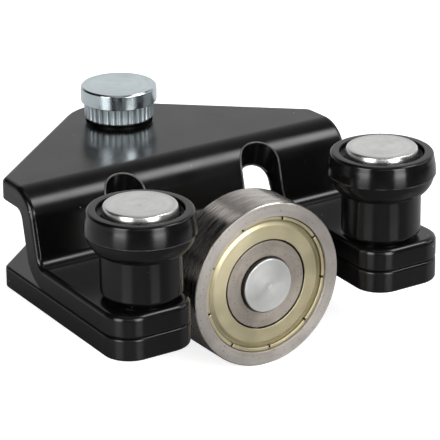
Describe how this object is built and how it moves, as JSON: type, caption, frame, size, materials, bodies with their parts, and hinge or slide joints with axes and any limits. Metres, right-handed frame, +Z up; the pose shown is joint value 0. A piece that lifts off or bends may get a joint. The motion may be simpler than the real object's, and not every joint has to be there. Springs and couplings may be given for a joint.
{
  "type": "sliding door roller guide",
  "caption": "Folded black steel carriage with a ball bearing load wheel, flanged guide rollers on upright pins and a knurled pivot pin, carries a sliding door along its rail.",
  "frame": {"origin": "on the pivot pin's axis, halfway between the two plates that hold it", "axes": "+X along the rail, +Y from the load wheel towards the pivot pin, +Z up along the pivot pin"},
  "size_m": [0.0694, 0.0683, 0.0383],
  "materials": {
    "black_coat": "semi-gloss black coating on steel sheet",
    "zinc_plate": "zinc plated, turned",
    "bearing_steel": "ground",
    "shield_sheet": "pale gold passivated sheet",
    "polished_steel": "polished",
    "cage_sheet": "pressed sheet",
    "black_plastic": "moulded, semi-gloss"
  },
  "bodies": {
    "carriage": {"bracket": "black_coat", "base_plate": "black_coat", "pivot_pin": "zinc_plate", "load_axle": "zinc_plate", "bearing_inner_ring": "bearing_steel", "guide_pin_left": "zinc_plate", "guide_pin_right": "zinc_plate"},
    "load_wheel": {"bearing_outer_ring": "bearing_steel", "bearing_shield_front": "shield_sheet", "bearing_shield_rear": "shield_sheet"},
    "ball_train": {"ball_1": "polished_steel", "ball_2": "polished_steel", "ball_3": "polished_steel", "ball_4": "polished_steel", "ball_5": "polished_steel", "ball_6": "polished_steel", "ball_7": "polished_steel", "ball_8": "polished_steel", "bearing_cage_front": "cage_sheet", "bearing_cage_rear": "cage_sheet", "cage_rivets": "cage_sheet"},
    "guide_wheel_left": {"guide_roller_left": "black_plastic"},
    "guide_wheel_right": {"guide_roller_right": "black_plastic"}
  },
  "joints": [
    {"name": "load_wheel_spin", "type": "hinge", "parent": "carriage", "child": "load_wheel", "pos_m": [0, -0.0445, -0.006], "axis": [0, 1, 0], "continuous": true},
    {"name": "ball_train_spin", "type": "hinge", "parent": "carriage", "child": "ball_train", "pos_m": [0, -0.0445, -0.006], "axis": [0, 1, 0], "continuous": true},
    {"name": "guide_left_spin", "type": "hinge", "parent": "carriage", "child": "guide_wheel_left", "pos_m": [-0.025, -0.0481, 0.006], "axis": [0, 0, 1], "continuous": true},
    {"name": "guide_right_spin", "type": "hinge", "parent": "carriage", "child": "guide_wheel_right", "pos_m": [0.025, -0.0481, 0.006], "axis": [0, 0, 1], "continuous": true}
  ],
  "couplings": [
    {"joint": "ball_train_spin", "follows": "load_wheel_spin", "ratio": 0.61905}
  ]
}
